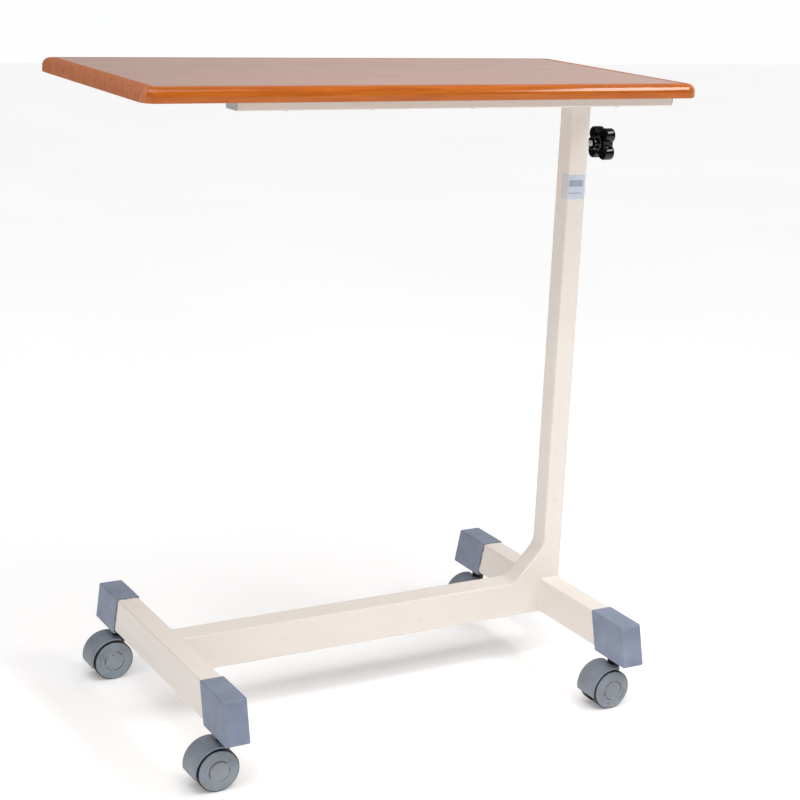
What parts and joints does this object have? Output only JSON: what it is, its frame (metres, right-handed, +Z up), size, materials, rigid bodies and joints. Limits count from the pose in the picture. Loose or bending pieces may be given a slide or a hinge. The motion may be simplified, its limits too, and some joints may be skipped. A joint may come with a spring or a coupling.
{
  "type": "overbed table",
  "caption": "Overbed table: wood-edged rectangular top on a telescoping side column with a clamp knob, on an H-shaped tube base with hooded twin-wheel swivel castors.",
  "frame": {"origin": "on the floor, under the middle of the top", "axes": "+X towards the column end, +Y towards the back, +Z up"},
  "size_m": [0.768, 0.4632, 0.86],
  "materials": {
    "cream_paint": "cream powder coat, semi-gloss, faint orange peel",
    "cap_plastic": "blue-grey moulded plastic, fine texture",
    "hood_plastic": "grey moulded nylon, satin",
    "disc_plastic": "grey moulded nylon, satin, scuffed and dusty",
    "dark_tyre": "dark tread, matte",
    "black_nylon": "black nylon",
    "black_gloss": "glossy black moulded plastic",
    "grey_plug": "grey plastic",
    "zinc_steel": "bright zinc plated",
    "brass": "turned brass",
    "particle_board": "raw board, sealed underside",
    "wood_laminate": "cherry wood-print laminate, satin",
    "wood_lipping": "stained solid wood, glossy lacquer"
  },
  "bodies": {
    "base": {"left_cross_bar": "cream_paint", "right_cross_bar": "cream_paint", "long_bar": "cream_paint", "outer_column": "cream_paint", "column_gusset": "cream_paint", "clamp_nut": "cream_paint", "column_bush": "black_nylon", "stem_sockets": "black_nylon", "end_cap_front_left": "cap_plastic", "end_cap_back_left": "cap_plastic", "end_cap_front_right": "cap_plastic", "end_cap_back_right": "cap_plastic"},
    "lifting_top": {"inner_column": "cream_paint", "inner_glide": "black_nylon", "mounting_plate": "cream_paint", "front_rail": "cream_paint", "back_rail": "cream_paint", "left_cross_rail": "cream_paint", "column_cross_rails": "cream_paint", "rail_plugs": "grey_plug", "frame_screws": "zinc_steel", "board_core": "particle_board", "top_laminate": "wood_laminate", "front_lipping": "wood_lipping", "back_lipping": "wood_lipping", "left_lipping": "wood_lipping", "right_lipping": "wood_lipping"},
    "clamp_screw_pad": {"clamp_pad": "brass"},
    "clamp_handle": {"clamp_knob": "black_gloss", "clamp_stud": "zinc_steel"},
    "castor_front_left": {"hood_front_left": "hood_plastic", "stem_front_left": "zinc_steel", "axle_front_left": "zinc_steel"},
    "outer_wheel_front_left": {"wheel_outer_front_left": "disc_plastic", "tyre_outer_front_left": "dark_tyre"},
    "inner_wheel_front_left": {"wheel_inner_front_left": "disc_plastic", "tyre_inner_front_left": "dark_tyre"},
    "castor_back_left": {"hood_back_left": "hood_plastic", "stem_back_left": "zinc_steel", "axle_back_left": "zinc_steel"},
    "outer_wheel_back_left": {"wheel_outer_back_left": "disc_plastic", "tyre_outer_back_left": "dark_tyre"},
    "inner_wheel_back_left": {"wheel_inner_back_left": "disc_plastic", "tyre_inner_back_left": "dark_tyre"},
    "castor_front_right": {"hood_front_right": "hood_plastic", "stem_front_right": "zinc_steel", "axle_front_right": "zinc_steel"},
    "outer_wheel_front_right": {"wheel_outer_front_right": "disc_plastic", "tyre_outer_front_right": "dark_tyre"},
    "inner_wheel_front_right": {"wheel_inner_front_right": "disc_plastic", "tyre_inner_front_right": "dark_tyre"},
    "castor_back_right": {"hood_back_right": "hood_plastic", "stem_back_right": "zinc_steel", "axle_back_right": "zinc_steel"},
    "outer_wheel_back_right": {"wheel_outer_back_right": "disc_plastic", "tyre_outer_back_right": "dark_tyre"},
    "inner_wheel_back_right": {"wheel_inner_back_right": "disc_plastic", "tyre_inner_back_right": "dark_tyre"}
  },
  "joints": [
    {"name": "height_slide", "type": "slide", "parent": "base", "child": "lifting_top", "axis": [0, 0, 1], "range_m": [0, 0.3]},
    {"name": "clamp_advance", "type": "slide", "parent": "base", "child": "clamp_screw_pad", "axis": [1, 0, 0], "range_m": [0, 0.00255]},
    {"name": "knob_turn", "type": "hinge", "parent": "clamp_screw_pad", "child": "clamp_handle", "pos_m": [0.35, 0, 0.76], "axis": [1, 0, 0], "range_deg": [0, 720]},
    {"name": "swivel_front_left", "type": "hinge", "parent": "base", "child": "castor_front_left", "pos_m": [-0.275, -0.184, 0.08], "axis": [0, 0, 1], "continuous": true},
    {"name": "roll_outer_front_left", "type": "hinge", "parent": "castor_front_left", "child": "outer_wheel_front_left", "pos_m": [-0.288, -0.184, 0.028], "axis": [0, 1, 0], "continuous": true},
    {"name": "roll_inner_front_left", "type": "hinge", "parent": "castor_front_left", "child": "inner_wheel_front_left", "pos_m": [-0.288, -0.184, 0.028], "axis": [0, 1, 0], "continuous": true},
    {"name": "swivel_back_left", "type": "hinge", "parent": "base", "child": "castor_back_left", "pos_m": [-0.275, 0.184, 0.08], "axis": [0, 0, 1], "continuous": true},
    {"name": "roll_outer_back_left", "type": "hinge", "parent": "castor_back_left", "child": "outer_wheel_back_left", "pos_m": [-0.288, 0.184, 0.028], "axis": [0, 1, 0], "continuous": true},
    {"name": "roll_inner_back_left", "type": "hinge", "parent": "castor_back_left", "child": "inner_wheel_back_left", "pos_m": [-0.288, 0.184, 0.028], "axis": [0, 1, 0], "continuous": true},
    {"name": "swivel_front_right", "type": "hinge", "parent": "base", "child": "castor_front_right", "pos_m": [0.315, -0.184, 0.08], "axis": [0, 0, 1], "continuous": true},
    {"name": "roll_outer_front_right", "type": "hinge", "parent": "castor_front_right", "child": "outer_wheel_front_right", "pos_m": [0.302, -0.184, 0.028], "axis": [0, 1, 0], "continuous": true},
    {"name": "roll_inner_front_right", "type": "hinge", "parent": "castor_front_right", "child": "inner_wheel_front_right", "pos_m": [0.302, -0.184, 0.028], "axis": [0, 1, 0], "continuous": true},
    {"name": "swivel_back_right", "type": "hinge", "parent": "base", "child": "castor_back_right", "pos_m": [0.315, 0.184, 0.08], "axis": [0, 0, 1], "continuous": true},
    {"name": "roll_outer_back_right", "type": "hinge", "parent": "castor_back_right", "child": "outer_wheel_back_right", "pos_m": [0.302, 0.184, 0.028], "axis": [0, 1, 0], "continuous": true},
    {"name": "roll_inner_back_right", "type": "hinge", "parent": "castor_back_right", "child": "inner_wheel_back_right", "pos_m": [0.302, 0.184, 0.028], "axis": [0, 1, 0], "continuous": true}
  ],
  "couplings": [
    {"joint": "clamp_advance", "follows": "knob_turn", "m_per_rad": 0.00019894}
  ]
}
